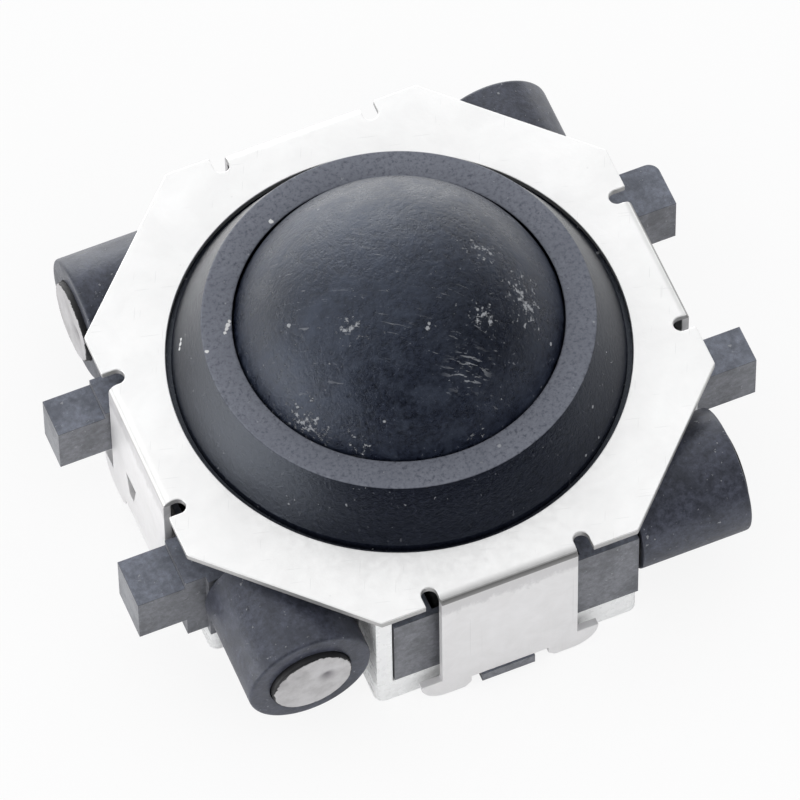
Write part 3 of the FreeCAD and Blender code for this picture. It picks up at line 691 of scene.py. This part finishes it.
# How far the rows of a plug's worn edge lie under its face and inside its wall
PLUG_EDGE = ((0.035 * MM, 0.0), (0.012 * MM, 0.008 * MM), (0.0, 0.03 * MM))


def chip(angle, side):
    """How far a plug's rim is broken away at an angle, from 0 to about 0.1."""
    middle, deep = CHIPS[side]
    away = abs((angle - middle + math.pi) % math.tau - math.pi)
    broken = max(0.0, 1 - away / CHIP_HALF_WIDTH) ** 0.6
    ragged, jagged = [noise.noise(Vector((math.cos(angle) * waves, math.sin(angle) * waves, middle)))
                      for waves in (4, 11)]
    return 0.006 * (1 + ragged) + broken * deep * (0.055 + 0.03 * ragged + 0.035 * jagged)


def dimple(across, over):
    """1 in the middle of a plug's dimple, falling to 0 round it."""
    apart = (across - DIMPLE_ACROSS) ** 2 + (over - DIMPLE_OVER) ** 2
    return math.exp(-apart / DIMPLE_SPREAD)


def extent(node, centre, way):
    """Where a turned node starts and ends along its axis, and its radius."""
    low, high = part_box(node)
    ends = [(corner - centre).dot(way) for corner in (low, high)]
    return min(ends), max(ends), (high.z - low.z) / 2


def add_plug(side, centre, way, bore, seat):
    """A plug with an uneven face, a dimple and a chipped rim. It stands a little proud
    of its magnet's face, which is the seat."""
    low, face, radius = extent("magnet_plug_" + side, centre, way)

    def uneven_face(along, reach, angle):
        if along > face - 0.03 * MM:
            across, over = reach * math.cos(angle) / MM, reach * math.sin(angle) / MM
            waves = noise.noise(Vector((across * 2, over * 2, CHIPS[side][0])))
            along -= (DIMPLE_DEPTH * dimple(across, over) + 0.008 * (1 + waves)) * MM
        return along, reach

    rows = rounded([(low, bore, 0), (low, radius, 0.02 * MM), (seat, radius, 0)])
    rows += [(face - under, radius - inside) for under, inside in PLUG_EDGE]
    rows += [(face, radius * number / PLUG_FACE_RINGS)
             for number in range(PLUG_FACE_RINGS - 2, -1, -1)]
    plug = turned("plug_" + side, "magnet_plug_" + side, rows, centre, way, steps=144,
                  shape=uneven_face, closed=False)

    # What the plug's material reads: how near a point is to the rim, and the dimple.
    edge_share = plug.data.attributes.new("edge_share", "FLOAT", "POINT")
    dent = plug.data.attributes.new("dent", "FLOAT", "POINT")
    wall = 0.02 * MM
    over = way.cross(UPRIGHT)
    for vert, edge_item, dent_item in zip(plug.data.vertices, edge_share.data, dent.data):
        spot = vert.co - centre
        flat = spot - way * spot.dot(way)
        angle = math.atan2(flat.dot(over), flat.dot(UPRIGHT)) % math.tau
        on_wall = min(max(0.0, (face - wall - spot.dot(way)) / wall), 1.0)
        edge_item.value = flat.length / radius + chip(angle, side) + on_wall * 0.2
        dent_item.value = dimple(flat.dot(UPRIGHT) / MM, flat.dot(over) / MM)


def add_roller(side):
    """The shaft, the sleeve, the magnet and the plug on one side of the ball."""
    spin = next(row for row in frame["joints"] if row["name"] == side + "_roller_spin")
    centre = Vector(spin["pos_m"])
    magnet_low, magnet_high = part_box("magnet_ring_" + side)
    way = ((magnet_low + magnet_high) / 2 - centre).normalized()
    low, high, radius = extent("roller_shaft_" + side, centre, way)
    rows = rounded([(low, 0, 0), (low, radius, 0.05 * MM), (high, radius, 0.05 * MM), (high, 0, 0)])
    turned("shaft_" + side, "roller_shaft_" + side, rows, centre, way, steps=64, closed=False)
    bore = radius + PLAY
    low, high, radius = extent("roller_sleeve_" + side, centre, way)
    rows = rounded([(low, bore, 0.01 * MM), (low, radius, 0.06 * MM),
                    (high, radius, 0.06 * MM), (high, bore, 0.01 * MM)])
    turned("sleeve_" + side, "roller_sleeve_" + side, rows, centre, way, steps=96)
    low, face, radius = extent("magnet_ring_" + side, centre, way)
    magnet_bore = extent("magnet_plug_" + side, centre, way)[2] + PLAY
    mouth = magnet_bore + 0.002 * MM
    rows = rounded([(low, magnet_bore, 0), (low, radius, 0.03 * MM),
                    (face, radius, 0.07 * MM), (face, mouth, 0.02 * MM)])
    turned("magnet_" + side, "magnet_ring_" + side, rows, centre, way, steps=144)
    add_plug(side, centre, way, bore, face)


softened("cover_sheet", "shield_cover", width=0.018 * MM, hole=HOLE_RADIUS)
softened("milky_base", "light_guide", width=0.03 * MM)
softened("black_frame", "base_frame", width=0.045 * MM)
add_ball()
add_ring()
for side in SIDES:
    add_roller(side)


# The floor
def floor_paint():
    """White to the camera, with a soft shadow. Glossy surfaces see it bright behind the
    object and at its left, and dark far out in front."""
    pale, dark = (0.9, 0.9, 0.9), (0.1, 0.1, 0.1)
    paint = Shader("floor_paint")
    paint.set(Roughness=0.95)
    ray = paint.nodes.new("ShaderNodeLightPath").outputs
    glossy = ray["Is Glossy Ray"]
    across, along = paint.place_parts()[:2]
    out_front = paint.plus(paint.times(along, -1.0), paint.times(across, 0.3))
    far = paint.step(out_front, 12.0, 30.0)
    paint.feed("Base Color", paint.mix(paint.times(far, glossy), pale, dark))
    behind = paint.step(along, 6.0, 14.0)
    at_left = paint.near((-26.0, 2.0, 0.0), 26.0)
    share = paint.most(paint.times(ray["Is Camera Ray"], 0.86),
                       paint.times(glossy, paint.most(behind, at_left)))
    extra = paint.plus(1.0, paint.times(at_left, 2.6))
    glow = paint.shine("ShaderNodeEmission", WHITE, paint.plus(1.0, paint.times(glossy, extra)))
    output = next(node for node in paint.nodes if node.type == "OUTPUT_MATERIAL")
    paint.link(paint.blend(share, paint.bsdf.outputs[0], glow), output.inputs["Surface"])
    return paint.material


# It lies a hair under the base.
FLOOR_REACH = 0.6
FLOOR_DROP = 0.02 * MM
floor_mesh = bpy.data.meshes.new("floor")
floor_corners = [(across * FLOOR_REACH, along * FLOOR_REACH, 0)
                 for across, along in ((-1, -1), (1, -1), (1, 1), (-1, 1))]
floor_mesh.from_pydata(floor_corners, [], [(0, 1, 2, 3)])
floor_mesh.materials.append(floor_paint())
floor = bpy.data.objects.new("floor", floor_mesh)
scene.collection.objects.link(floor)
floor.location.z = -FLOOR_DROP

# The studio. The camera sees plain white and matt surfaces an even light. Shiny ones see
# a narrow and a wider light behind the object, in a room that is dim at the front: each
# is a direction, the cosines between which it rises, and its levels.
ROOM = (
    ((0.08, 0.985, 0.14), (0.78, 1.0), (0.0, 3.2)),
    ((0.08, 0.76, 0.643), (0.72, 1.0), (0.0, 0.5)),
    ((-0.15, 0.80, 0.58), (-0.3, 0.7), (0.03, 0.78)),
)
DAYLIGHT = (0.985, 0.99, 1.0)
world = bpy.data.worlds.new("studio")
scene.world = world
world.use_nodes = True
studio = Tree(world.node_tree)
for node in list(studio.nodes):
    studio.nodes.remove(node)
world_output = studio.nodes.new("ShaderNodeOutputWorld")
world_ray = studio.nodes.new("ShaderNodeLightPath").outputs
world_place = studio.nodes.new("ShaderNodeTexCoord").outputs["Generated"]


def lit_side(way, cosines, levels):
    """A level that rises where the world is seen near a direction."""
    dot = studio.nodes.new("ShaderNodeVectorMath")
    dot.operation = "DOT_PRODUCT"
    studio.link(world_place, dot.inputs[0])
    dot.inputs[1].default_value = Vector(way).normalized()
    return studio.ranged(dot.outputs["Value"], *cosines, *levels, smooth=True)


room = studio.plus(*[lit_side(*row) for row in ROOM])
shiny = studio.most(world_ray["Is Glossy Ray"], world_ray["Is Transmission Ray"])
surroundings = studio.blend(shiny, studio.shine("ShaderNodeBackground", DAYLIGHT, 0.85),
                            studio.shine("ShaderNodeBackground", DAYLIGHT, room))
studio.link(studio.blend(world_ray["Is Camera Ray"], surroundings,
                         studio.shine("ShaderNodeBackground", WHITE, 1.0)),
            world_output.inputs["Surface"])


# Lamps
LAMP_TARGET = Vector((0, 0, 0.003))


def softbox(name, place, width, height, radiance):
    """A flat lamp of a given radiance, turned to the object."""
    lamp = bpy.data.lights.new(name, "AREA")
    lamp.shape = "RECTANGLE"
    lamp.size = width
    lamp.size_y = height
    lamp.energy = radiance * math.pi * lamp.size * lamp.size_y
    lamp_object = bpy.data.objects.new(name, lamp)
    scene.collection.objects.link(lamp_object)
    lamp_object.location = place
    aim = LAMP_TARGET - Vector(place)
    lamp_object.rotation_euler = aim.to_track_quat("-Z", "Y").to_euler()
    return lamp_object


softbox("top_left", (-0.10, 0.03, 0.11), width=0.09, height=0.09, radiance=1.0)
softbox("left", (-0.1235, -0.014, 0.0135), width=0.10, height=0.023, radiance=4.2)
front_fill = softbox("front_fill", (0.07, -0.10, 0.06), width=0.08, height=0.08, radiance=1.0)
front_fill.visible_glossy = False

# The camera, with a long lens. Its unit is the plate's half width. The angles, the shifts
# and the distance put the plate's corners where the photograph has them.
UNIT = 5.2 * MM
AZIMUTH, ELEVATION, ROLL = (math.radians(angle) for angle in (-21.76, 58.90, -1.04))
SHIFT_RIGHT, SHIFT_UP, DISTANCE = -0.0026, 0.1755, 35.13
FOCAL_PIXELS = 10000
PICTURE_PIXELS = 800
SENSOR = 36.0
back = Vector((math.sin(AZIMUTH) * math.cos(ELEVATION),
               -math.cos(AZIMUTH) * math.cos(ELEVATION),
               math.sin(ELEVATION)))
right = Vector((math.cos(AZIMUTH), math.sin(AZIMUTH), 0))
up = back.cross(right)
rolled_right = right * math.cos(ROLL) + up * math.sin(ROLL)
rolled_up = -right * math.sin(ROLL) + up * math.cos(ROLL)
aim_point = Vector((0, 0, PLATE_TOP))
stand = aim_point + UNIT * (-SHIFT_RIGHT * rolled_right - SHIFT_UP * rolled_up + DISTANCE * back)
turn = Matrix((rolled_right, rolled_up, back)).transposed().to_4x4()
camera_data = bpy.data.cameras.new("camera")
camera_data.sensor_width = SENSOR
camera_data.lens = FOCAL_PIXELS / PICTURE_PIXELS * SENSOR
camera_data.clip_start = 0.01
camera_data.clip_end = 10
camera = bpy.data.objects.new("camera", camera_data)
scene.collection.objects.link(camera)
camera.matrix_world = Matrix.Translation(stand) @ turn
scene.camera = camera
scene.view_settings.view_transform = "Standard"
